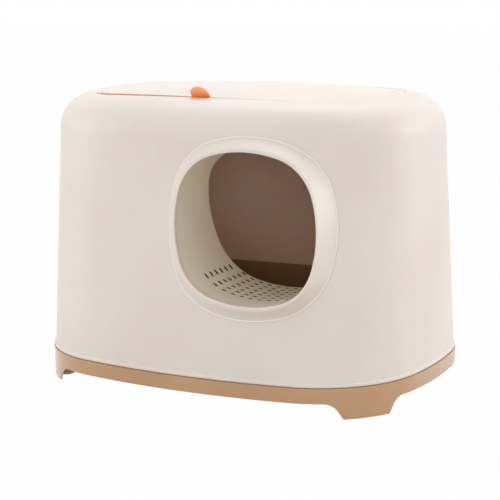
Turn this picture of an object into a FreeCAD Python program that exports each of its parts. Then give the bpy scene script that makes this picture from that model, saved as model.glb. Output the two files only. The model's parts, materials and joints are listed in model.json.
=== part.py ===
import FreeCAD, Part
import math
import os
import Sketcher

# Covered litter box in millimetres: tan tray, lift-off hood, entry tunnel and hinged lid.
# The floor is z = 0, the front is -Y and the right is +X; x = y = 0 is the middle of the box.

SIZES = {
    # Plan of the box at its widest, and how its outline bends
    "body_length": 530.0,
    "body_width": 392.0,
    "end_run": 57.0,
    "front_bow": 9.4,
    "end_bow": 7.9,
    # Tray
    "rim_height": 40.5,
    "foot_lift": 1.0,
    "skirt_wall": 3.0,
    "ledge_thick": 3.5,
    "pan_under": 22.0,
    "pan_floor": 3.0,
    "pan_gap": 6.0,
    "pan_wall": 3.0,
    "pan_clear": 24.5,
    "arch_height": 21.0,
    "arch_round": 18.0,
    "arch_slope": 12.0,
    "foot_end_x": 57.0,
    "foot_end_y": 85.0,
    "back_foot_end_y": 69.0,
    "pad_radius": 8.5,
    "pad_inset": 14.8,
    "foot_angle": 38.0,
    "back_foot_angle": 43.8,
    "pad_depth": 8.0,
    "boss_wall": 2.5,
    # Hood
    "hood_top": 383.5,
    "hood_wall": 3.0,
    "hood_inset": 2.0,
    "lean_end": 9.0,
    "lean_front": 18.0,
    "top_end_run": 28.0,
    "crown_along": 3700.0,
    "crown_across": 1474.0,
    "top_round": 44.0,
    "bead_inset": 0.4,
    "bead_height": 4.5,
    "bead_round": 1.4,
    # Lid in the top of the hood
    "lid_margin_x": 70.0,
    "lid_margin_y": 78.0,
    "lid_corner": 50.0,
    "lid_proud": 0.55,
    "lid_crown_shift": 19.4,
    "lid_wall": 3.0,
    "seal_width": 2.5,
    "seal_least": 1.55,
    "seat_width": 12.0,
    "seat_thick": 3.0,
    "seam_gap": 1.0,
    "rear_gap": 2.5,
    # Lid hinges
    "hinge_x": 70.0,
    "hinge_setback": 8.0,
    "knuckle_radius": 4.0,
    "knuckle_width": 24.0,
    "knuckle_play": 0.6,
    "arm_reach": 26.0,
    "arm_room": 4.0,
    "gusset_height": 2.0,
    "pin_radius": 2.0,
    "pin_play": 0.05,
    "ear_width": 6.0,
    "ear_half_depth": 5.0,
    # Pull tab at the lid's front edge
    "tab_offset": 6.4,
    "tab_width": 26.0,
    "tab_side": 6.0,
    "tab_length": 17.2,
    "tab_thick": 2.6,
    "tab_lean": 37.0,
    "tab_round": 1.0,
    "tongue_width": 16.0,
    "tongue_thick": 1.6,
    "tongue_head": 1.6,
    "tongue_rise": 0.6,
    "head_rim": 0.5,
    "tab_play": 0.2,
    "tab_sink": 0.4,
    "tab_setback": 1.6,
    # Entry: mouth, ring round it and tunnel behind it
    "entry_x": 92.0,
    "entry_drop": 153.5,
    "entry_half_x": 96.0,
    "entry_half_z": 93.0,
    "entry_corner": 65.0,
    "entry_bow": 15.6,
    "mouth_setback": 3.8,
    "mouth_tilt": 2.2,
    "ring_grow_x": 10.5,
    "ring_grow_z": 19.3,
    "ring_grow_corner": 12.0,
    "ring_edge": 2.6,
    "ring_shift": 1.5,
    "ring_drop": 1.6,
    "ring_proud": 0.8,
    "lip_depth": 5.4,
    "tunnel_wall": 2.5,
    "tunnel_length": 118.0,
    "tunnel_slant": 19.0,
    "hole_play": 0.5,
    "flange_width": 8.0,
    "flange_thick": 2.5,
    "slot_pitch": 12.4,
    "slot_length": 6.0,
    "slot_width": 4.0,
    "slot_margin": 10.0,
}
SLOT_ROWS = 13
SLOT_COLUMNS = 7
RING_STEPS = 8
RING_HOLLOW = 1.2
# How far forms and cutters reach past the faces that trim them or that they cut
PAST = 1.0
UNDER = 2.0
SPARE = 4.0
WELL_PAST = 5.0
FAR_PAST = 20.0
ABOVE = 30.0
TOUCH = 0.01
SHEET = "Sizes"

Vector = FreeCAD.Vector
UP = Vector(0, 0, 1)


class Size:
    """A length with the cell expression it comes from."""

    def __init__(self, value, text):
        self.value = value
        self.text = text

    def __add__(self, other):
        other = as_size(other)
        return Size(self.value + other.value, "(%s + %s)" % (self.text, other.text))

    def __sub__(self, other):
        other = as_size(other)
        return Size(self.value - other.value, "(%s - %s)" % (self.text, other.text))

    def __mul__(self, other):
        other = as_size(other)
        return Size(self.value * other.value, "(%s * %s)" % (self.text, other.text))

    def __truediv__(self, other):
        other = as_size(other)
        return Size(self.value / other.value, "(%s / %s)" % (self.text, other.text))

    def __neg__(self):
        return Size(-self.value, "(-1 * %s)" % self.text)


def as_size(amount):
    if isinstance(amount, Size):
        return amount
    return Size(float(amount), repr(float(amount)))


def size(name):
    return Size(SIZES[name], "%s.%s" % (SHEET, name))


def sine(angle):
    return Size(math.sin(math.radians(angle.value)), "sin(%s * 1deg)" % angle.text)


def cosine(angle):
    return Size(math.cos(math.radians(angle.value)), "cos(%s * 1deg)" % angle.text)


doc = FreeCAD.newDocument("covered_litter_box")
sheet = doc.addObject("Spreadsheet::Sheet", SHEET)
for row, (alias, number) in enumerate(SIZES.items(), 1):
    sheet.set("A%d" % row, alias)
    sheet.set("B%d" % row, str(number))
    sheet.setAlias("B%d" % row, alias)
doc.recompute()


def bind(thing, path, amount):
    thing.setExpression(path, as_size(amount).text)


def new_body(name):
    return doc.addObject("PartDesign::Body", name)


def new_sketch(body, name, plane, shift):
    """A sketch on one of the body's own planes, moved by shift in the plane's own axes."""
    sketch = body.newObject("Sketcher::SketchObject", name)
    for feature in body.Origin.OriginFeatures:
        if feature.Role == plane:
            sketch.AttachmentSupport = [(feature, "")]
    sketch.MapMode = "FlatFace"
    for axis, amount in zip("xyz", shift):
        bind(sketch, "AttachmentOffset.Base." + axis, amount)
    return sketch


def dimension(sketch, kind, name, where, amount):
    """A named driving dimension bound to the sheet."""
    value = math.radians(amount.value) if kind == "Angle" else amount.value
    index = sketch.addConstraint(Sketcher.Constraint(kind, *where, value))
    sketch.renameConstraint(index, name)
    bind(sketch, "Constraints." + name, amount)


def bowed_arcs(half_x, half_y, corner, bow_x, bow_y):
    """The eight tangent arcs of a bowed, round-cornered outline: centre x and y, radius, angles."""
    bow_x = math.radians(bow_x)
    bow_y = math.radians(bow_y)
    sin_x, lift_x = math.sin(bow_x), 1 - math.cos(bow_x)
    sin_y, lift_y = math.sin(bow_y), 1 - math.cos(bow_y)
    spread = sin_x * sin_y - lift_x * lift_y
    front = ((half_x - corner) * sin_y - (half_y - corner) * lift_y) / spread
    end = ((half_y - corner) * sin_x - (half_x - corner) * lift_x) / spread
    middle_x, middle_y = front * sin_x, end * sin_y
    turn = math.pi / 2 - bow_x
    half = math.pi
    return [
        (half_x - end - corner, 0, end + corner, -bow_y, bow_y),
        (middle_x, middle_y, corner, bow_y, turn),
        (0, half_y - front - corner, front + corner, turn, half - turn),
        (-middle_x, middle_y, corner, half - turn, half - bow_y),
        (end + corner - half_x, 0, end + corner, half - bow_y, half + bow_y),
        (-middle_x, -middle_y, corner, half + bow_y, half + turn),
        (0, front + corner - half_y, front + corner, half + turn, 2 * half - turn),
        (middle_x, -middle_y, corner, 2 * half - turn, 2 * half - bow_y),
    ]


def bowed_outline(sketch, half_x, half_y, corner, bow_x, bow_y, label=""):
    """Draw the bowed outline about the sketch's origin, fully dimensioned from the sheet."""
    first = sketch.GeometryCount
    arcs = bowed_arcs(half_x.value, half_y.value, corner.value, bow_x.value, bow_y.value)
    for x, y, radius, start, stop in arcs:
        circle = Part.Circle(Vector(x, y, 0), UP, radius)
        sketch.addGeometry(Part.ArcOfCircle(circle, start, stop), False)
    a, b = half_x.value, half_y.value
    for x, y in ((a, 0), (0, b), (-a, 0), (0, -b)):
        sketch.addGeometry(Part.Point(Vector(x, y, 0)), True)
    for step in range(8):
        sketch.addConstraint(Sketcher.Constraint("Tangent", first + step, 2, first + (step + 1) % 8, 1))
    for arc, axis in ((0, -1), (2, -2), (4, -1), (6, -2)):
        point = first + 8 + arc // 2
        sketch.addConstraint(Sketcher.Constraint("PointOnObject", first + arc, 3, axis))
        sketch.addConstraint(Sketcher.Constraint("PointOnObject", point, 1, first + arc))
        sketch.addConstraint(Sketcher.Constraint("PointOnObject", point, 1, axis))
    for one, other in ((0, 4), (2, 6), (1, 3), (1, 5), (1, 7)):
        sketch.addConstraint(Sketcher.Constraint("Equal", first + one, first + other))
    dimension(sketch, "Angle", label + "bow_y", (first,), bow_y * 2)
    dimension(sketch, "Angle", label + "bow_x", (first + 2,), bow_x * 2)
    dimension(sketch, "Radius", label + "corner", (first + 1,), corner)
    dimension(sketch, "DistanceX", label + "right", (-1, 1, first + 8, 1), half_x)
    dimension(sketch, "DistanceY", label + "back", (-1, 1, first + 9, 1), half_y)
    dimension(sketch, "DistanceX", label + "left", (first + 10, 1, -1, 1), half_x)
    dimension(sketch, "DistanceY", label + "front", (first + 11, 1, -1, 1), half_y)


def polygon(sketch, corners):
    """Draw straight lines through the corners, each corner dimensioned from the sheet."""
    count = len(corners)
    for step in range(count):
        x, y = corners[step]
        next_x, next_y = corners[(step + 1) % count]
        ends = (Vector(x.value, y.value, 0), Vector(next_x.value, next_y.value, 0))
        sketch.addGeometry(Part.LineSegment(*ends), False)
    for step in range(count):
        sketch.addConstraint(Sketcher.Constraint("Coincident", step, 2, (step + 1) % count, 1))
        for kind, amount in zip(("DistanceX", "DistanceY"), corners[step]):
            where = (-1, 1, step, 1)
            if amount.value < 0:
                where = (step, 1, -1, 1)
                amount = -amount
            dimension(sketch, kind, "corner%d_%s" % (step, kind[-1].lower()), where, amount)


def pad(body, sketch, name, length, symmetric=False):
    feature = body.newObject("PartDesign::Pad", name)
    feature.Profile = sketch
    feature.SideType = "Symmetric" if symmetric else "One side"
    bind(feature, "Length", length)
    doc.recompute()
    return feature


def pocket_up(body, sketch, name, length):
    """Cut from the sketch towards +Z."""
    feature = body.newObject("PartDesign::Pocket", name)
    feature.Profile = sketch
    feature.Reversed = True
    bind(feature, "Length", length)
    doc.recompute()
    return feature


def edge_names(shape, wanted):
    """Names of the edges for which wanted(edge) holds."""
    return ["Edge%d" % (index + 1) for index, edge in enumerate(shape.Edges) if wanted(edge)]


def round_edges(body, base, name, radius, wanted):
    feature = body.newObject("PartDesign::Fillet", name)
    feature.Base = (base, edge_names(base.Shape, wanted))
    bind(feature, "Radius", radius)
    doc.recompute()
    return feature


def level_edges(height):
    """Test for edges that lie flat at a height."""

    def wanted(edge):
        box = edge.BoundBox
        return abs(box.ZMin - height) < TOUCH and abs(box.ZMax - height) < TOUCH

    return wanted


def cut(name, base, *tools):
    result = doc.addObject("Part::Cut", name)
    result.Base = base
    result.Tool = tools[0] if len(tools) == 1 else fuse(name + "_tools", *tools)
    return result


def fuse(name, *pieces):
    result = doc.addObject("Part::MultiFuse", name)
    result.Shapes = list(pieces)
    return result


def common(name, *pieces):
    result = doc.addObject("Part::MultiCommon", name)
    result.Shapes = list(pieces)
    return result


def box(name, low, high):
    """A box between two corners given as sizes."""
    solid = doc.addObject("Part::Box", name)
    for axis, side, start, stop in zip("xyz", ("Length", "Width", "Height"), low, high):
        bind(solid, side, as_size(stop) - start)
        bind(solid, "Placement.Base." + axis, start)
    return solid


def cylinder(name, radius, length, base, along_x=False):
    solid = doc.addObject("Part::Cylinder", name)
    if along_x:
        solid.Placement = FreeCAD.Placement(Vector(), FreeCAD.Rotation(Vector(0, 1, 0), 90))
    bind(solid, "Radius", radius)
    bind(solid, "Height", length)
    for axis, amount in zip("xyz", base):
        bind(solid, "Placement.Base." + axis, amount)
    return solid


half_length = size("body_length") / 2
half_width = size("body_width") / 2
corner = half_width - size("end_run")
front_bow = size("front_bow")
end_bow = size("end_bow")
rim_height = size("rim_height")
hood_top = size("hood_top")
entry_x = size("entry_x")
entry_z = hood_top - size("entry_drop")
tunnel_wall = size("tunnel_wall")
tunnel_low = entry_z - size("entry_half_z") - tunnel_wall
tunnel_high = entry_z + size("entry_half_z") + tunnel_wall
none = as_size(0)


def plan_outline(sketch, inset, label=""):
    """The widest outline of the box, moved inwards by inset."""
    bowed_outline(sketch, half_length - inset, half_width - inset, corner - inset, front_bow, end_bow, label)


# Tray: skirt, ledge and pan in one moulding
pan_top = tunnel_low - size("pan_clear")
foot_lift = size("foot_lift")
skirt_wall = size("skirt_wall")
pan_under = size("pan_under")
pan_inset = size("hood_inset") + size("hood_wall") + size("pan_gap")
tray_body = new_body("tray_body")
skirt_sketch = new_sketch(tray_body, "skirt_sketch", "XY_Plane", (none, none, foot_lift))
plan_outline(skirt_sketch, none)
skirt = pad(tray_body, skirt_sketch, "skirt", rim_height - foot_lift)
ledge_edge = round_edges(tray_body, skirt, "ledge_edge", size("bead_round"), level_edges(SIZES["rim_height"]))
pan_sketch = new_sketch(tray_body, "pan_sketch", "XY_Plane", (none, none, rim_height - PAST))
plan_outline(pan_sketch, pan_inset)
pan_block = pad(tray_body, pan_sketch, "pan_block", pan_top - rim_height + PAST)
under_sketch = new_sketch(tray_body, "under_sketch", "XY_Plane", (none, none, foot_lift))
plan_outline(under_sketch, skirt_wall)
under_space = pocket_up(tray_body, under_sketch, "under_space", pan_under - foot_lift)
groove_sketch = new_sketch(tray_body, "groove_sketch", "XY_Plane", (none, none, pan_under))
plan_outline(groove_sketch, skirt_wall, "outer_")
plan_outline(groove_sketch, pan_inset, "inner_")
groove = pocket_up(tray_body, groove_sketch, "groove", rim_height - size("ledge_thick") - pan_under)
pan_level = pan_under + size("pan_floor")
pan_space_sketch = new_sketch(tray_body, "pan_space_sketch", "XY_Plane", (none, none, pan_level))
plan_outline(pan_space_sketch, pan_inset + size("pan_wall"))
pan_space = pocket_up(tray_body, pan_space_sketch, "pan_space", pan_top)


def arch(name, plane, start, finish, through):
    """The space under the skirt between two feet, as a prism along the plane's normal."""
    body = new_body(name)
    sketch = new_sketch(body, name + "_sketch", plane, (none, none, none))
    low = -size("foot_lift")
    high = size("arch_height")
    slope = size("arch_slope")
    polygon(sketch, [(-start, low), (finish, low), (finish - slope, high), (slope - start, high)])
    prism = pad(body, sketch, name + "_prism", through, True)

    def crown_line(edge):
        return level_edges(SIZES["arch_height"])(edge) and edge.Length > through.value - PAST

    round_edges(body, prism, name + "_round", size("arch_round"), crown_line)
    return body


foot_x = half_length - size("foot_end_x")
front_foot_y = half_width - size("foot_end_y")
back_foot_y = half_width - size("back_foot_end_y")
front_arch = arch("front_arch", "XZ_Plane", foot_x, foot_x, half_width * 2 + WELL_PAST * 2)
side_arch = arch("side_arch", "YZ_Plane", front_foot_y, back_foot_y, half_length * 2 + WELL_PAST * 2)
arched_tray = cut("arched_tray", tray_body, front_arch, side_arch)

# Feet: a hollow boss in each corner, plugged by a rubber pad
pad_radius = size("pad_radius")
lift_x = as_size(1) - cosine(front_bow)
lift_y = as_size(1) - cosine(end_bow)
spread = sine(front_bow) * sine(end_bow) - lift_x * lift_y
run_x = half_length - corner
run_y = half_width - corner
corner_x = (run_x * sine(end_bow) - run_y * lift_y) / spread * sine(front_bow)
corner_y = (run_y * sine(front_bow) - run_x * lift_x) / spread * sine(end_bow)
pad_reach = corner - size("pad_inset")
bosses = []
sockets = []
foot_pads = []
for depth_name, depth_sign, angle in (
    ("front", -1, size("foot_angle")),
    ("back", 1, size("back_foot_angle")),
):
    for side_name, side_sign in (("left", -1), ("right", 1)):
        corner_name = depth_name + "_" + side_name
        x = (corner_x + pad_reach * cosine(angle)) * side_sign
        y = (corner_y + pad_reach * sine(angle)) * depth_sign
        boss_radius = pad_radius + size("boss_wall")
        bosses.append(cylinder("boss_" + corner_name, boss_radius, pan_under, (x, y, foot_lift)))
        sockets.append(cylinder("socket_" + corner_name, pad_radius, size("pad_depth"), (x, y, none)))
        foot_pads.append(cylinder("foot_pad_" + corner_name, pad_radius, size("pad_depth"), (x, y, none)))
base_tray = cut("base_tray", fuse("booted_tray", arched_tray, *bosses), *sockets)

# Hood: leaning walls, crowned top and a wide round between them


def crown_cut(body, name, apex, inset, shift=none):
    """Trim the body to the crowned top, a slice of a ring bent both ways, its apex moved along X by shift."""
    along = size("crown_along") - inset
    across = size("crown_across") - inset
    sketch = new_sketch(body, name + "_sketch", "YZ_Plane", (none, apex - inset - along, shift))
    reach = half_width.value + FAR_PAST
    sweep = math.asin(reach / across.value)
    low = along.value - across.value + across.value * math.cos(sweep)
    high = along.value + ABOVE
    circle = Part.Circle(Vector(0, along.value - across.value, 0), UP, across.value)
    sketch.addGeometry(Part.ArcOfCircle(circle, math.pi / 2 - sweep, math.pi / 2 + sweep), False)
    sketch.addGeometry(Part.LineSegment(Vector(-reach, low, 0), Vector(-reach, high, 0)), False)
    sketch.addGeometry(Part.LineSegment(Vector(-reach, high, 0), Vector(reach, high, 0)), False)
    sketch.addGeometry(Part.LineSegment(Vector(reach, high, 0), Vector(reach, low, 0)), False)
    for one, end, other, start in ((0, 2, 1, 1), (1, 2, 2, 1), (2, 2, 3, 1), (3, 2, 0, 1)):
        sketch.addConstraint(Sketcher.Constraint("Coincident", one, end, other, start))
    sketch.addConstraint(Sketcher.Constraint("PointOnObject", 0, 3, -2))
    sketch.addConstraint(Sketcher.Constraint("Vertical", 1))
    sketch.addConstraint(Sketcher.Constraint("Horizontal", 2))
    sketch.addConstraint(Sketcher.Constraint("Vertical", 3))
    dimension(sketch, "Radius", "across", (0,), across)
    dimension(sketch, "DistanceY", "middle", (-1, 1, 0, 3), along - across)
    dimension(sketch, "DistanceY", "above", (-1, 1, 2, 1), along + ABOVE)
    dimension(sketch, "DistanceX", "front_reach", (1, 1, -1, 1), half_width + FAR_PAST)
    dimension(sketch, "DistanceX", "back_reach", (-1, 1, 3, 1), half_width + FAR_PAST)
    feature = body.newObject("PartDesign::Groove", name)
    feature.Profile = sketch
    feature.ReferenceAxis = (sketch, ["H_Axis"])
    feature.Midplane = True
    feature.Angle = 2 * math.degrees(math.asin((half_length.value + ABOVE) / along.value))
    doc.recompute()
    return feature


def hood_form(name, inset, low, round_radius):
    """The solid form of the hood, moved inwards by inset, from the height low up to the crown."""
    body = new_body(name)
    high = hood_top + SPARE
    sketches = []
    for label, height, lean_end, lean_front, run in (
        ("low", low, none, none, size("end_run")),
        ("high", high, size("lean_end"), size("lean_front"), size("top_end_run")),
    ):
        sketch = new_sketch(body, "%s_%s" % (name, label), "XY_Plane", (none, none, height))
        half_x = half_length - lean_end - size("hood_inset")
        half_y = half_width - lean_front - size("hood_inset")
        bowed_outline(sketch, half_x - inset, half_y - inset, half_y - run - inset, front_bow, end_bow)
        sketches.append(sketch)
    loft = body.newObject("PartDesign::AdditiveLoft", name + "_loft")
    loft.Profile = sketches[0]
    loft.Sections = [sketches[1]]
    loft.Ruled = True
    doc.recompute()
    crown = crown_cut(body, name + "_crown", hood_top, inset)
    face = max(crown.Shape.Faces, key=lambda one: one.CenterOfMass.z)

    def on_crown(edge):
        return any(edge.isSame(other) for other in face.Edges)

    round_edges(body, crown, name + "_round", round_radius, on_crown)
    return body


hood_wall = size("hood_wall")
top_round = size("top_round")
hood_outer = hood_form("hood_outer", none, rim_height, top_round)
hood_inner = hood_form("hood_inner", hood_wall, rim_height - UNDER, top_round - hood_wall)

bead_body = new_body("bead_body")
bead_sketch = new_sketch(bead_body, "bead_sketch", "XY_Plane", (none, none, rim_height))
plan_outline(bead_sketch, size("bead_inset"))
bead_pad = pad(bead_body, bead_sketch, "bead_pad", size("bead_height"))
round_edges(bead_body, bead_pad, "bead_edge", size("bead_round"), lambda edge: edge.BoundBox.ZLength < TOUCH)

# Lid seat in the hood's top
lid_x = half_length - size("lid_margin_x")
lid_y = half_width - size("lid_margin_y")
lid_corner = size("lid_corner")
lid_top = hood_top + size("lid_proud")
lid_edge_drop = lid_y * lid_y / size("crown_across") / 2
# The seat lies below the crown's drop at the lid's lowest corner, with the least height of the seal between
corner_cut = lid_corner * (1 - math.sqrt(0.5))
corner_x = lid_x + size("lid_crown_shift") - corner_cut
corner_y = lid_y - corner_cut
corner_drop = corner_x * corner_x / size("crown_along") / 2 + corner_y * corner_y / size("crown_across") / 2
seat_height = lid_top - corner_drop - size("seal_least")


def lid_prism(name, inset, low, shift=none, stretch=none):
    """A prism of the lid's outline moved inwards by inset, from the height low to above the lid."""
    body = new_body(name)
    sketch = new_sketch(body, name + "_sketch", "XY_Plane", (none, shift, low))
    bowed_outline(sketch, lid_x - inset, lid_y - inset + stretch, lid_corner - inset, front_bow, end_bow)
    pad(body, sketch, name + "_pad", lid_top - low + ABOVE / 2)
    return body


rear_shift = (size("rear_gap") - size("seam_gap")) / 2
recess_inset = -size("seam_gap")
frame_inset = recess_inset - hood_wall
seat_frame = lid_prism("seat_frame", frame_inset, seat_height - size("seat_thick"), rear_shift, rear_shift)
recess = lid_prism("recess", recess_inset, seat_height, rear_shift, rear_shift)
aperture = lid_prism("aperture", size("seat_width"), seat_height - ABOVE)

# Hinges behind the lid: ears and notches in the hood, arms and knuckles on the lid
hinge_y = lid_y + size("hinge_setback")
hinge_z = seat_height
knuckle_radius = size("knuckle_radius")
knuckle_half = size("knuckle_width") / 2
play = size("knuckle_play")
notch_half = knuckle_half + play
ear_depth = size("ear_half_depth")
pin_radius = size("pin_radius")
pin_half = notch_half + size("ear_width")
ears = []
notches = []
pin_holes = []
hinge_pins = []
arms = []
gussets = []
knuckle_holes = []
for side_name, side_sign in (("left", -1), ("right", 1)):
    x = size("hinge_x") * side_sign
    ear_low = (x - pin_half, hinge_y - ear_depth, hinge_z - ear_depth)
    ear_high = (x + pin_half, hinge_y + ear_depth, hinge_z + pin_radius)
    ears.append(box("ears_" + side_name, ear_low, ear_high))
    notch_back = hinge_y + knuckle_radius + play
    notch_low = (x - notch_half, lid_y - size("seat_width") - size("arm_room"), hinge_z - ear_depth - PAST)
    notches.append(box("notch_" + side_name, notch_low, (x + notch_half, notch_back, lid_top + WELL_PAST)))
    start = (x - pin_half, hinge_y, hinge_z)
    pin_holes.append(cylinder("pin_hole_" + side_name, pin_radius, pin_half * 2, start, True))
    hinge_pins.append(cylinder("hinge_pin_" + side_name, pin_radius, pin_half * 2, start, True))
    start = (x - knuckle_half, hinge_y, hinge_z)
    arms.append(cylinder("knuckle_" + side_name, knuckle_radius, knuckle_half * 2, start, True))
    arm_front = hinge_y - size("arm_reach")
    arm_low = (x - knuckle_half, arm_front, hinge_z - knuckle_radius)
    arms.append(box("arm_" + side_name, arm_low, (x + knuckle_half, hinge_y, hinge_z)))
    gusset_back = lid_y - size("seal_width") - size("lid_wall") / 2
    gusset_low = (x - knuckle_half, arm_front, hinge_z - PAST)
    gusset_high = (x + knuckle_half, gusset_back, hinge_z + size("gusset_height"))
    gussets.append(box("gusset_" + side_name, gusset_low, gusset_high))
    start = (x - knuckle_half, hinge_y, hinge_z)
    bore = pin_radius + size("pin_play")
    knuckle_holes.append(cylinder("knuckle_hole_" + side_name, bore, knuckle_half * 2, start, True))

# Entry: every outline stands on the XZ plane about the mouth's middle
entry_bow = size("entry_bow")
mouth_reach = half_width - size("mouth_setback")
tunnel_reach = mouth_reach - size("lip_depth")
tunnel_end = tunnel_reach - size("tunnel_length")


def entry_prism(name, grow, front, back):
    """A prism along Y of the mouth's outline grown by grow, between two distances in front of y = 0."""
    body = new_body(name)
    sketch = new_sketch(body, name + "_sketch", "XZ_Plane", (entry_x, entry_z, back))
    half_x = size("entry_half_x") + grow
    half_z = size("entry_half_z") + grow
    bowed_outline(sketch, half_x, half_z, size("entry_corner") + grow, entry_bow, entry_bow)
    pad(body, sketch, name + "_pad", front - back)
    return body


far_front = half_width + FAR_PAST
entry_hole = entry_prism("entry_hole", tunnel_wall + size("hole_play"), far_front, half_width / 2)
mouth_bore = entry_prism("mouth_bore", none, far_front, tunnel_end - WELL_PAST * 2)
tube = entry_prism("tube", tunnel_wall, tunnel_reach, tunnel_end)
flange_block = entry_prism("flange_block", tunnel_wall + size("flange_width"), far_front, half_width / 2)
flange_core = hood_form(
    "flange_core",
    hood_wall + size("flange_thick"),
    rim_height - UNDER,
    top_round - hood_wall - size("flange_thick"),
)
flange_skin = cut("flange_skin", hood_inner, flange_core)
flange = common("flange", flange_block, flange_skin)

# The tunnel's far end slants, its floor longer than its roof
slant_body = new_body("slant_body")
slant_sketch = new_sketch(slant_body, "slant_sketch", "YZ_Plane", (none, none, entry_x))
rise = math.tan(math.radians(SIZES["tunnel_slant"]))
roof_end = -tunnel_end - (tunnel_high - tunnel_low) * rise
slant_corners = [
    (-tunnel_end, tunnel_low),
    (roof_end - rise * WELL_PAST, tunnel_high + WELL_PAST),
    (-tunnel_end + WELL_PAST, tunnel_high + WELL_PAST),
    (-tunnel_end + WELL_PAST, tunnel_low),
]
polygon(slant_sketch, slant_corners)
pad(slant_body, slant_sketch, "slant_pad", size("entry_half_x") * 4, True)

# Sifting slots through the tunnel's floor, in a grid straight down. The outer rows lie up the walls,
# where the end has slanted back, so they start one place further forward.
doc.recompute()
slot_pitch = SIZES["slot_pitch"]
slot_half = SIZES["slot_length"] / 2
slot_radius = SIZES["slot_width"] / 2
slots = []
for row in range(SLOT_ROWS):
    x = SIZES["entry_x"] + (row - (SLOT_ROWS - 1) / 2) * slot_pitch
    first = 1 if row in (0, SLOT_ROWS - 1) else 0
    for column in range(first, SLOT_COLUMNS):
        y = -tunnel_end.value - SIZES["slot_margin"] - column * slot_pitch
        flat = slot_half - slot_radius
        west = Part.Arc(
            Vector(x - flat, y + slot_radius, 0),
            Vector(x - slot_half, y, 0),
            Vector(x - flat, y - slot_radius, 0),
        ).toShape()
        south = Part.makeLine(Vector(x - flat, y - slot_radius, 0), Vector(x + flat, y - slot_radius, 0))
        east = Part.Arc(
            Vector(x + flat, y - slot_radius, 0),
            Vector(x + slot_half, y, 0),
            Vector(x + flat, y + slot_radius, 0),
        ).toShape()
        north = Part.makeLine(Vector(x + flat, y + slot_radius, 0), Vector(x - flat, y + slot_radius, 0))
        face = Part.Face(Part.Wire([west, south, east, north]))
        slots.append(face.extrude(Vector(0, 0, SIZES["entry_half_z"])))
slot_cutter = doc.addObject("Part::Feature", "slot_cutter")
slot_cutter.Shape = Part.makeCompound(slots)
bind(slot_cutter, "Placement.Base.z", tunnel_low - WELL_PAST)
solid_tunnel = cut("solid_tunnel", fuse("flanged_tube", tube, flange), mouth_bore, slant_body)
entry_tunnel = cut("entry_tunnel", solid_tunnel, slot_cutter)

# Ring round the mouth: its section rises hollow from the hood's front, then rolls over to the mouth's lip
doc.recompute()


def entry_points(half_x, half_z, corner_radius, share=6):
    """Points round an entry outline as pairs of x and z."""
    points = []
    bow = SIZES["entry_bow"]
    for x, z, radius, start, stop in bowed_arcs(half_x, half_z, corner_radius, bow, bow):
        for step in range(share):
            angle = start + (stop - start) * step / share
            points.append((x + radius * math.cos(angle), z + radius * math.sin(angle)))
    return [(entry_x.value + x, entry_z.value + z) for x, z in points]


def front_of(shape, x, z):
    """The y at which a line from the front first meets the shape."""
    line = Part.makeLine(Vector(x, -far_front.value, z), Vector(x, 0, z))
    return min(vertex.Y for vertex in line.common(shape).Vertexes)


def ring_rise(share):
    """How far the ring's section has risen at a share of the way from its rim to the lip."""
    bent = share ** RING_HOLLOW
    return bent * bent * (3 - 2 * bent)


def closed_curve(points):
    curve = Part.BSplineCurve()
    curve.interpolate(Points=points, PeriodicFlag=True)
    return Part.Wire(curve.toShape())


ring_edge = SIZES["ring_edge"]
mouth = (SIZES["entry_half_x"], SIZES["entry_half_z"], SIZES["entry_corner"])
grow = (SIZES["ring_grow_x"], SIZES["ring_grow_z"], SIZES["ring_grow_corner"])
lip = entry_points(*[length + ring_edge for length in mouth])
rim_outline = entry_points(*[length + more for length, more in zip(mouth, grow)])
rim = [(x - SIZES["ring_shift"], z - SIZES["ring_drop"]) for x, z in rim_outline]
rim_y = [front_of(hood_outer.Shape, x, z) for x, z in rim]
tilt = math.tan(math.radians(SIZES["mouth_tilt"]))
lip_y = [(z - entry_z.value) * tilt - mouth_reach.value for x, z in lip]
edge_y = [y - SIZES["ring_proud"] for y in rim_y]
rear_wire = closed_curve([Vector(x, -half_width.value / 2, z) for x, z in rim])
wires = []
for step in range(RING_STEPS + 1):
    share = step / RING_STEPS
    risen = ring_rise(share)
    ring_points = []
    for (lip_x, lip_z), front_y, (rim_x, rim_z), back_y in zip(lip, lip_y, rim, edge_y):
        y = back_y + (front_y - back_y) * risen
        ring_points.append(Vector(rim_x + (lip_x - rim_x) * share, y, rim_z + (lip_z - rim_z) * share))
    wires.append(closed_curve(ring_points))
stem = Part.makeLoft([rear_wire, wires[0]], False, True)
swell = Part.makeLoft(wires, False, False)
skin = Part.makeCompound(stem.Faces + swell.Faces + [Part.Face(rear_wire), Part.Face(wires[-1])])
skin.sewShape(TOUCH)
ring_solid = Part.Solid(skin.Shells[0])
if ring_solid.Volume < 0:
    ring_solid.reverse()
ring_form = doc.addObject("Part::Feature", "ring_form")
ring_form.Shape = ring_solid
tube_seat = entry_prism("tube_seat", tunnel_wall, tunnel_reach, half_width / 2)
fitted_ring = cut("fitted_ring", ring_form, hood_outer)
entry_bezel = cut("entry_bezel", fitted_ring, mouth_bore, tube_seat)

# Hood with its openings
cavity = cut("cavity", hood_inner, seat_frame)
hood_solid = fuse("hood_solid", hood_outer, bead_body)
hollow_hood = cut("hollow_hood", hood_solid, cavity)
eared_hood = fuse("eared_hood", hollow_hood, *ears)
cover_shell = cut("cover_shell", eared_hood, recess, aperture, entry_hole, *notches, *pin_holes)

# Lid, its seal and its pull tab


def crowned_prism(name, inset, low, sunk):
    body = lid_prism(name, inset, low)
    crown_cut(body, name + "_crown", lid_top, sunk, -size("lid_crown_shift"))
    return body


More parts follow.
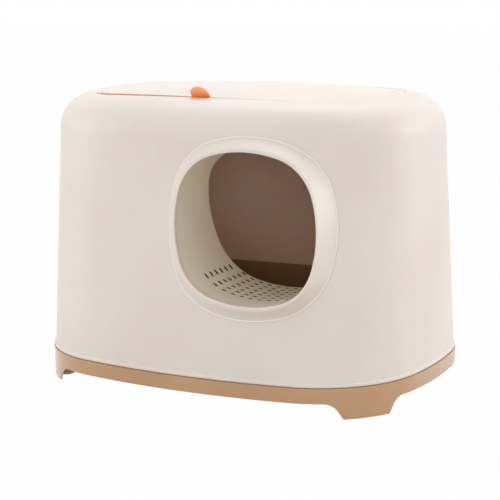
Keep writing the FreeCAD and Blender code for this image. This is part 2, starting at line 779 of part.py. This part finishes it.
seal_width = size("seal_width")
lid_wall = size("lid_wall")
lid_block = crowned_prism("lid_block", none, seat_height, none)
lid_core = crowned_prism("lid_core", seal_width, seat_height, none)
lid_hollow = crowned_prism("lid_hollow", seal_width + lid_wall, seat_height - PAST, lid_wall)

tab_half = size("tab_width") / 2
tab_front = -lid_y
tab_back = tab_front + seal_width
tab_level = lid_top - lid_edge_drop
tab_x = -size("tab_offset")
tab_start = tab_x - tab_half
tab_finish = tab_x + tab_half
root_high = (tab_finish, tab_back, tab_level - size("tab_play"))
root = box("tab_root", (tab_start, tab_front, seat_height), root_high)
tongue_half = size("tongue_width") / 2
tongue_low = seat_height + size("tongue_rise")
tongue_high = tongue_low + size("tongue_thick")
tongue_back = tab_back + lid_wall + size("tab_play")
tongue_start = tab_x - tongue_half
tongue_finish = tab_x + tongue_half
tongue = box("tab_tongue", (tongue_start, tab_back, tongue_low), (tongue_finish, tongue_back, tongue_high))
head_rim = size("head_rim")
head_low = (tongue_start - head_rim, tongue_back, tongue_low - head_rim)
head_high = (tongue_finish + head_rim, tongue_back + size("tongue_head"), tongue_high + head_rim)
head = box("tab_head", head_low, head_high)
gap_low = (tab_start, tab_front - PAST, seat_height - PAST)
tab_gap = box("tab_gap", gap_low, (tab_finish, tab_back + PAST, lid_top + WELL_PAST))
slot_start = (tongue_start, tab_back - PAST, tongue_low)
slot_finish = (tongue_finish, tongue_back + PAST, tongue_high)
tongue_slot = box("tongue_slot", slot_start, slot_finish)

blade_body = new_body("blade_body")
blade_place = (tab_x, tab_level - size("tab_sink"), lid_y - size("tab_setback"))
blade_sketch = new_sketch(blade_body, "blade_sketch", "XZ_Plane", blade_place)
blade_turn = FreeCAD.Rotation(Vector(1, 0, 0), SIZES["tab_lean"])
blade_sketch.AttachmentOffset = FreeCAD.Placement(Vector(), blade_turn)
blade_half = SIZES["tab_width"] / 2
blade_side = SIZES["tab_side"]
leaf_middle = Vector(0, blade_side, 0)
leaf_tip = Vector(0, SIZES["tab_length"], 0)
leaf_side = Vector(blade_half, blade_side, 0)
if SIZES["tab_length"] - blade_side > blade_half:
    leaf = Part.ArcOfEllipse(Part.Ellipse(leaf_tip, leaf_side, leaf_middle), -math.pi / 2, math.pi / 2)
else:
    leaf = Part.ArcOfEllipse(Part.Ellipse(leaf_side, leaf_tip, leaf_middle), 0, math.pi)
blade_sketch.addGeometry(leaf, False)
blade_corners = [(-blade_half, blade_side), (-blade_half, 0), (blade_half, 0), (blade_half, blade_side)]
for (x, y), (next_x, next_y) in zip(blade_corners, blade_corners[1:]):
    blade_sketch.addGeometry(Part.LineSegment(Vector(x, y, 0), Vector(next_x, next_y, 0)), False)
for one, end, other, start in ((0, 2, 1, 1), (1, 2, 2, 1), (2, 2, 3, 1), (3, 2, 0, 1)):
    blade_sketch.addConstraint(Sketcher.Constraint("Coincident", one, end, other, start))
blade_pad = pad(blade_body, blade_sketch, "blade_pad", size("tab_thick"), True)
blade_width = SIZES["tab_width"]
tab_round = size("tab_round")
round_edges(blade_body, blade_pad, "blade_round", tab_round, lambda edge: edge.Length > blade_width + PAST)
lid_pull_tab = fuse("lid_pull_tab", root, tongue, head, blade_body)

lid_seal = cut("lid_seal", lid_block, lid_core, tab_gap)
lid_cap = cut("lid_cap", lid_core, lid_hollow)
gusset_feet = [common(gusset.Name + "_fitted", gusset, lid_core) for gusset in gussets]
top_lid = cut("top_lid", fuse("armed_lid", lid_cap, *arms, *gusset_feet), tongue_slot, *knuckle_holes)

doc.recompute()
finished = [base_tray, *foot_pads, cover_shell, entry_bezel, entry_tunnel]
finished += [top_lid, lid_seal, lid_pull_tab, *hinge_pins]
for thing in doc.Objects:
    if "Invalid" in thing.State or "Error" in thing.State:
        raise RuntimeError("not built: " + thing.Name)
os.makedirs("parts", exist_ok=True)
for thing in finished:
    if thing.Shape.isNull() or not thing.Shape.isValid() or len(thing.Shape.Solids) != 1:
        raise RuntimeError("not one sound solid: %s, %d solids" % (thing.Name, len(thing.Shape.Solids)))
    thing.Shape.exportStep("parts/%s.step" % thing.Label)
    bounds = thing.Shape.BoundBox
    volume = thing.Shape.Volume / 1000
    print("%-22s %9.1f cm3  z %.1f to %.1f" % (thing.Label, volume, bounds.ZMin, bounds.ZMax))
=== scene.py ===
import json
import math

import bmesh
import bpy
from mathutils import Matrix, Vector
from mathutils.bvhtree import BVHTree


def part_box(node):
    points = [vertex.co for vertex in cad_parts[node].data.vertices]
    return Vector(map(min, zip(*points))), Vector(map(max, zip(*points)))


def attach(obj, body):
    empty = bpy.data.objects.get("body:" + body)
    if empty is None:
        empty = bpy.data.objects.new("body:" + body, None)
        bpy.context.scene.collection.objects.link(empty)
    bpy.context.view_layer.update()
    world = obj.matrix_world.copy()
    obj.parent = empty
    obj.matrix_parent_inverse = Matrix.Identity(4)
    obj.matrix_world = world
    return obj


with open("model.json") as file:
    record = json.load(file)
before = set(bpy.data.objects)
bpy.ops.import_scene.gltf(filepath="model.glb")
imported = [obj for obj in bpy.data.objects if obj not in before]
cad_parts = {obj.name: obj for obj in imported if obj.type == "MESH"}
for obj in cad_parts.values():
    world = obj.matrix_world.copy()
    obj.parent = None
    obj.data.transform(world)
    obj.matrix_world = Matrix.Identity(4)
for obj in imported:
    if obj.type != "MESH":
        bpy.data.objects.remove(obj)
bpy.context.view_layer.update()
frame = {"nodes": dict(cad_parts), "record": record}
nodes = frame["nodes"]
scene = bpy.context.scene


def colour(text):
    """An sRGB hex value as linear red, green, blue and a full alpha."""
    parts = [int(text[place:place + 2], 16) / 255 for place in (1, 3, 5)]
    line = [part / 12.92 if part <= 0.04045 else ((part + 0.055) / 1.055) ** 2.4 for part in parts]
    return (*line, 1.0)


def per_metre(millimetres):
    """The scale that gives a pattern cells of this many millimetres."""
    return 1000 / millimetres


def node(tree, kind, links=None, **settings):
    """One node: settings are its own attributes, links are values or sockets by input name or number."""
    made = tree.nodes.new(kind)
    for name, value in settings.items():
        setattr(made, name, value)
    for place, value in (links or {}).items():
        if isinstance(value, bpy.types.NodeSocket):
            tree.links.new(value, made.inputs[place])
        else:
            made.inputs[place].default_value = value
    return made


def ramp(made, stops):
    """Puts colour stops on a ramp node: pairs of a place and a hex value."""
    points = made.color_ramp.elements
    while len(points) < len(stops):
        points.new(0.5)
    for point, (place, text) in zip(points, stops):
        point.position = place
        point.color = colour(text)
    return made


def blank(name):
    """A new material with only its shader and output, and its tree."""
    material = bpy.data.materials.new(name)
    material.use_nodes = True
    tree = material.node_tree
    tree.nodes.clear()
    shader = node(tree, "ShaderNodeBsdfPrincipled")
    node(tree, "ShaderNodeOutputMaterial", {"Surface": shader.outputs["BSDF"]})
    return material, tree, shader


def moulded_plastic(name, deep, plain, pale, grit, height, rough, skin=0.25, milky=0.35):
    """Injection-moulded polypropylene from a spark-eroded tool.

    It gives a dry satin sheen over a very fine even grit, a slow drift of tone where the melt cooled
    at different speeds, and faint broad sinks. The grit of about 0.25 mm would be too fine to show,
    so it is drawn at the size given in millimetres. The skin is the closed, glossier surface layer;
    milky is the share of light that scatters inside, none for pieces thinner than it reaches.
    """
    drift_mm = 120
    sink_mm = 70
    material, tree, shader = blank(name)
    place = node(tree, "ShaderNodeTexCoord").outputs["Object"]
    flow = node(tree, "ShaderNodeTexNoise", {
        "Vector": place, "Scale": per_metre(drift_mm), "Detail": 3.0, "Roughness": 0.45})
    tone = ramp(node(tree, "ShaderNodeValToRGB", {"Fac": flow.outputs["Fac"]}), (
        (0.30, deep), (0.50, plain), (0.70, pale)))
    sparks = node(tree, "ShaderNodeTexNoise", {
        "Vector": place, "Scale": per_metre(grit), "Detail": 2.0, "Roughness": 0.6})
    sheen = node(tree, "ShaderNodeMapRange", {
        "Value": sparks.outputs["Fac"], "From Min": 0.3, "From Max": 0.7,
        "To Min": rough - 0.06, "To Max": rough + 0.06})
    sink = node(tree, "ShaderNodeTexNoise", {
        "Vector": place, "Scale": per_metre(sink_mm), "Detail": 1.0})
    waves = node(tree, "ShaderNodeBump", {
        "Height": sink.outputs["Fac"], "Strength": 0.12, "Distance": 0.001})
    grain = node(tree, "ShaderNodeBump", {
        "Height": sparks.outputs["Fac"], "Strength": height, "Distance": 0.0004,
        "Normal": waves.outputs["Normal"]})
    tree.links.new(tone.outputs["Color"], shader.inputs["Base Color"])
    tree.links.new(sheen.outputs["Result"], shader.inputs["Roughness"])
    tree.links.new(grain.outputs["Normal"], shader.inputs["Normal"])
    shader.inputs["IOR"].default_value = 1.49
    shader.inputs["Coat Weight"].default_value = skin
    shader.inputs["Coat Roughness"].default_value = 0.24
    shader.inputs["Subsurface Weight"].default_value = milky
    shader.inputs["Subsurface Radius"].default_value = (1.0, 0.55, 0.3)
    shader.inputs["Subsurface Scale"].default_value = 0.006
    return material


def soft_rubber(name, deep, plain, pale, rough, fade=None):
    """Moulded silicone or thermoplastic rubber.

    It is duller than the plastic, with a soft powdery bloom that lightens its edges and a fine
    leathery grain of about 0.4 mm, drawn at 0.8 mm so that it shows. Where a fade is given, the colour
    turns to another along one axis, between two places in metres: painted light, paler where light falls
    stronger.
    """
    bloom_mm = 9
    grain_mm = 0.8
    material, tree, shader = blank(name)
    place = node(tree, "ShaderNodeTexCoord").outputs["Object"]
    bloom = node(tree, "ShaderNodeTexNoise", {
        "Vector": place, "Scale": per_metre(bloom_mm), "Detail": 4.0, "Roughness": 0.55})
    tone = ramp(node(tree, "ShaderNodeValToRGB", {"Fac": bloom.outputs["Fac"]}), (
        (0.28, deep), (0.52, plain), (0.74, pale)))
    paint = tone.outputs["Color"]
    # Painted light: the fade mixes in a paler tone along one axis.
    if fade:
        axis, start, stop, painted_light_tone = fade
        axes = node(tree, "ShaderNodeSeparateXYZ", {"Vector": place})
        share = node(tree, "ShaderNodeMapRange", {
            "Value": axes.outputs[axis], "From Min": start, "From Max": stop},
            interpolation_type="SMOOTHSTEP")
        faded = node(tree, "ShaderNodeMix", {
            0: share.outputs["Result"], 6: paint, 7: colour(painted_light_tone)}, data_type="RGBA")
        paint = faded.outputs[2]
    pores = node(tree, "ShaderNodeTexVoronoi", {
        "Vector": place, "Scale": per_metre(grain_mm)})
    dull = node(tree, "ShaderNodeMapRange", {
        "Value": bloom.outputs["Fac"], "From Min": 0.3, "From Max": 0.7,
        "To Min": rough - 0.07, "To Max": rough + 0.07})
    grain = node(tree, "ShaderNodeBump", {
        "Height": pores.outputs["Distance"], "Strength": 0.15, "Distance": 0.0003})
    tree.links.new(paint, shader.inputs["Base Color"])
    tree.links.new(dull.outputs["Result"], shader.inputs["Roughness"])
    tree.links.new(grain.outputs["Normal"], shader.inputs["Normal"])
    shader.inputs["IOR"].default_value = 1.43
    shader.inputs["Sheen Weight"].default_value = 0.15
    shader.inputs["Sheen Roughness"].default_value = 0.4
    return material


def drawn_steel(name):
    """Cold-drawn steel wire: bright, with hairline die marks along its length, 0.3 mm apart."""
    mark_mm = 0.3
    material, tree, shader = blank(name)
    place = node(tree, "ShaderNodeTexCoord").outputs["Object"]
    along = node(tree, "ShaderNodeMapping", {"Vector": place, "Scale": (0.02, 1.0, 1.0)})
    marks = node(tree, "ShaderNodeTexNoise", {
        "Vector": along.outputs["Vector"], "Scale": per_metre(mark_mm), "Detail": 3.0})
    tone = ramp(node(tree, "ShaderNodeValToRGB", {"Fac": marks.outputs["Fac"]}), (
        (0.35, "#A9AAAB"), (0.65, "#C9CACB")))
    polish = node(tree, "ShaderNodeMapRange", {
        "Value": marks.outputs["Fac"], "From Min": 0.3, "From Max": 0.7,
        "To Min": 0.22, "To Max": 0.36})
    tree.links.new(tone.outputs["Color"], shader.inputs["Base Color"])
    tree.links.new(polish.outputs["Result"], shader.inputs["Roughness"])
    shader.inputs["Metallic"].default_value = 1.0
    return material


hood_finish = moulded_plastic(
    "moulded_PP_cream", "#E7DCD3", "#EAE0D7", "#EDE4DC",
    grit=0.9, height=0.10, rough=0.46, skin=0.08)
# Painted highlight: a lighter cream than the hood for the ring's raised line, standing in for the light
# the line catches.
line_painted_highlight = moulded_plastic(
    "moulded_PP_cream_painted_highlight", "#F6EDE4", "#F8F0E8", "#FAF3EC",
    grit=0.9, height=0.05, rough=0.46, skin=0.08, milky=0.0)
tray_finish = moulded_plastic(
    "moulded_PP_tan", "#BC9066", "#C2966B", "#C99E73",
    grit=1.0, height=0.12, rough=0.34, skin=0.9)
# Painted shade: a darker tan that stands in for the shadow in the groove under the hood's bead.
groove_painted_shade = moulded_plastic(
    "moulded_PP_tan_shaded", "#926B49", "#98714E", "#A07957",
    grit=1.0, height=0.12, rough=0.60, skin=0.0, milky=0.0)
tunnel_finish = moulded_plastic(
    "moulded_PP_cream_tunnel", "#F6E6CE", "#F8EAD4", "#FAEEDB",
    grit=0.9, height=0.10, rough=0.48, milky=0.1)
# Painted shade: a dark brown that stands in for the shadow inside the sifting slots.
slot_painted_shade = moulded_plastic(
    "moulded_PP_slot_painted_shade", "#5A3216", "#663A1C", "#724424",
    grit=0.9, height=0.10, rough=0.80, skin=0.0, milky=0.0)
# Painted highlight: the tan seal turns pale cream towards its right end, where the light washes over the
# top.
seal_finish = soft_rubber(
    "moulded_TPE_tan", "#C68E6C", "#CD9675", "#D5A182",
    rough=0.62, fade=("X", -0.05, 0.06, "#EBDDCE"))
seal_cream = soft_rubber("moulded_TPE_cream", "#E4D8CA", "#E8DDD0", "#ECE2D7", rough=0.62)
# Painted light: the orange turns paler towards the tab's top, which faces the light, and stays deepest
# low down by the seam, where it is shaded.
tab_finish = soft_rubber(
    "moulded_silicone_orange", "#FA7E34", "#FC8840", "#FE944E",
    rough=0.52, fade=("Z", 0.379, 0.390, "#FDBA88"))
pad_finish = soft_rubber("moulded_TPR_brown", "#7A6350", "#846C58", "#8F7763", rough=0.70)
pin_finish = drawn_steel("drawn_steel_wire")

finishes = {
    "tray_plastic": tray_finish,
    "hood_plastic": hood_finish,
    "tunnel_plastic": tunnel_finish,
    "seal_rubber": seal_finish,
    "tab_silicone": tab_finish,
    "pad_rubber": pad_finish,
    "pin_steel": pin_finish,
}
for piece in frame["record"]["subparts"]:
    mesh = nodes[piece["node"]].data
    mesh.materials.clear()
    mesh.materials.append(finishes[piece["material_slot"]])


def refinish(name, finish, picked):
    """Gives another finish, or painted shade, to the faces of a solid that pass the test."""
    mesh = nodes[name].data
    mesh.materials.append(finish)
    for face in mesh.polygons:
        if picked(face):
            face.material_index = 1


def past_front_run(face):
    """The seal is tan along the lid's front only: its ends and back are the hood's own cream."""
    run_depth = 0.02
    return face.center.y > seal_low.y + run_depth


def under_bead_painted_shade(face):
    """Painted shade: the tray's rounded top edge, in the groove under the hood's bead, is darkened where
    the bead's shadow falls.
    """
    edge_height = 0.0012
    spare = 0.0001
    beside = hood_low.z - edge_height < face.center.z < hood_low.z + spare
    steepest = 0.3
    flattest = 0.995
    return beside and steepest < face.normal.z < flattest


def slot_wall(face):
    """Painted shade: the upright walls of the sifting slots, low in the tunnel's floor, are made dark
    brown where the slots fall into shadow.
    """
    slots_start = tunnel_low.y + 0.022
    slots_end = tunnel_high.y - 0.006
    slots_top = tunnel_low.z + 0.06
    upright = abs(face.normal.z) < 0.05
    return upright and slots_start < face.center.y < slots_end and face.center.z < slots_top


seal_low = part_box("lid_seal")[0]
hood_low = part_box("cover_shell")[0]
tunnel_low, tunnel_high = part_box("entry_tunnel")
refinish("lid_seal", seal_cream, past_front_run)
# Painted shade on the tray's rounded top edge under the hood's bead.
refinish("base_tray", groove_painted_shade, under_bead_painted_shade)
# Painted shade on the upright walls of the sifting slots.
refinish("entry_tunnel", slot_painted_shade, slot_wall)


def ring_line():
    """The fine raised line along the entry ring's rim: a low bead laid on the ring's own surface, in a
    lighter cream that paints the highlight it catches.
    """
    half_width = 0.0011
    half_height = 0.0006
    steps = 240
    sides = 10
    blur = 3
    search_step = 0.0001
    ring = nodes["entry_bezel"].data
    surface = BVHTree.FromPolygons(
        [corner.co for corner in ring.vertices], [face.vertices for face in ring.polygons])
    low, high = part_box("entry_bezel")
    middle = (low + high) / 2
    in_front = low.y - 0.1

    def seen(place, reach):
        """The ring's surface met from the front, this far out from the middle: a point and a normal."""
        angle = place / steps * math.tau
        across = middle.x + reach * math.cos(angle)
        upward = middle.z + reach * math.sin(angle)
        return surface.ray_cast(Vector((across, in_front, upward)), Vector((0, 1, 0)))[:2]

    rim = []
    for place in range(steps):
        reach = (high - low).length / 2
        while seen(place, reach)[0] is None:
            reach -= search_step
        rim.append(reach)
    path = []
    facing = []
    for place in range(steps):
        near = [rim[(place + shift) % steps] for shift in range(-blur, blur + 1)]
        point, normal = seen(place, sum(near) / len(near) - half_width)
        path.append(point)
        facing.append(normal)
    made = bmesh.new()
    loops = []
    for place, point in enumerate(path):
        along = (path[(place + 1) % steps] - path[place - 1]).normalized()
        sideways = along.cross(facing[place]).normalized()
        outward = sideways.cross(along)
        loop = []
        for turn in range(sides):
            angle = turn / sides * math.tau
            offset = sideways * math.cos(angle) * half_width + outward * math.sin(angle) * half_height
            loop.append(made.verts.new(point + offset))
        loops.append(loop)
    for place in range(steps):
        one = loops[place - 1]
        two = loops[place]
        for turn in range(sides):
            made.faces.new((one[turn - 1], one[turn], two[turn], two[turn - 1]))
    bmesh.ops.recalc_face_normals(made, faces=made.faces)
    mesh = bpy.data.meshes.new("entry_ring_line")
    made.to_mesh(mesh)
    made.free()
    for face in mesh.polygons:
        face.use_smooth = True
    # Painted highlight: the line takes the lighter cream that stands in for the light it catches.
    mesh.materials.append(line_painted_highlight)
    line = bpy.data.objects.new("entry_ring_line", mesh)
    scene.collection.objects.link(line)
    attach(line, "cover")


ring_line()


def studio_floor():
    """A pale floor that the camera and gloss see as white, with only a trace of the box's shadow."""
    half_side = 9.0
    white_share = 0.992
    made = bmesh.new()
    bmesh.ops.create_grid(made, x_segments=2, y_segments=2, size=half_side)
    mesh = bpy.data.meshes.new("studio_floor")
    made.to_mesh(mesh)
    made.free()
    floor = bpy.data.objects.new("studio_floor", mesh)
    scene.collection.objects.link(floor)
    material = bpy.data.materials.new("white_paper_sweep")
    material.use_nodes = True
    tree = material.node_tree
    tree.nodes.clear()
    path = node(tree, "ShaderNodeLightPath")
    direct = node(tree, "ShaderNodeMath", {
        0: path.outputs["Is Camera Ray"], 1: path.outputs["Is Glossy Ray"]}, operation="MAXIMUM")
    share = node(tree, "ShaderNodeMath", {0: direct.outputs[0], 1: white_share}, operation="MULTIPLY")
    paper = node(tree, "ShaderNodeBsdfDiffuse", {"Color": colour("#C8C2BC")})
    glow = node(tree, "ShaderNodeEmission", {"Color": (1, 1, 1, 1), "Strength": 1.0})
    both = node(tree, "ShaderNodeMixShader", {
        0: share.outputs[0], 1: paper.outputs[0], 2: glow.outputs[0]})
    node(tree, "ShaderNodeOutputMaterial", {"Surface": both.outputs[0]})
    mesh.materials.append(material)


def soft_box(name, place, target, width, height, watts):
    """A rectangular studio lamp that faces its target."""
    lamp = bpy.data.lights.new(name, "AREA")
    lamp.shape = "RECTANGLE"
    lamp.size = width
    lamp.size_y = height
    lamp.energy = watts
    holder = bpy.data.objects.new(name, lamp)
    holder.location = place
    holder.rotation_euler = (Vector(target) - Vector(place)).to_track_quat("-Z", "Y").to_euler()
    scene.collection.objects.link(holder)


def studio_sky(strength):
    """An even white surround: the camera and gloss see plain white, the rest gets the given light."""
    world = bpy.data.worlds.new("white_surround")
    world.use_nodes = True
    tree = world.node_tree
    tree.nodes.clear()
    path = node(tree, "ShaderNodeLightPath")
    seen = node(tree, "ShaderNodeMath", {
        0: path.outputs["Is Camera Ray"], 1: path.outputs["Is Glossy Ray"]}, operation="MAXIMUM")
    seen_all = node(tree, "ShaderNodeMath", {
        0: seen.outputs[0], 1: path.outputs["Is Transmission Ray"]}, operation="MAXIMUM")
    level = node(tree, "ShaderNodeMapRange", {
        "Value": seen_all.outputs[0], "To Min": strength, "To Max": 1.0})
    light = node(tree, "ShaderNodeBackground", {
        "Color": (1, 1, 1, 1), "Strength": level.outputs["Result"]})
    node(tree, "ShaderNodeOutputWorld", {"Surface": light.outputs[0]})
    scene.world = world


studio_floor()
studio_sky(0.76)
soft_box("top_box", (0.0, 0.9, 2.1), (0.0, 0.0, 0.3), 1.8, 1.2, 14)
soft_box("right_box", (2.1, 1.5, 0.7), (0.1, 0.1, 0.2), 1.2, 1.2, 16)
soft_box("left_box", (-2.2, -1.0, 0.7), (-0.1, 0.0, 0.2), 1.2, 1.2, 13)
soft_box("front_box", (1.5, -2.3, 0.4), (0.05, -0.1, 0.2), 1.4, 1.2, 12)

azimuth = math.radians(28.4154)
elevation = math.radians(10.9028)
roll = math.radians(-0.7492)
away = 2.04307
aim = Vector((0.00482, -0.01503, 0.16806))
back = Vector((
    math.sin(azimuth) * math.cos(elevation),
    -math.cos(azimuth) * math.cos(elevation),
    math.sin(elevation)))
right = Vector((0, 0, 1)).cross(back).normalized()
up = back.cross(right)
turned_right = right * math.cos(roll) + up * math.sin(roll)
turned_up = up * math.cos(roll) - right * math.sin(roll)
sensor_mm = 36.0
focal_pixels = 1542.08
picture_pixels = 500
lens = bpy.data.cameras.new("photo_camera")
lens.sensor_width = sensor_mm
lens.lens = sensor_mm * focal_pixels / picture_pixels
camera = bpy.data.objects.new("photo_camera", lens)
turn = Matrix((turned_right, turned_up, back)).transposed().to_4x4()
camera.matrix_world = Matrix.Translation(aim + back * away) @ turn
scene.collection.objects.link(camera)
scene.camera = camera

scene.view_settings.view_transform = "Standard"
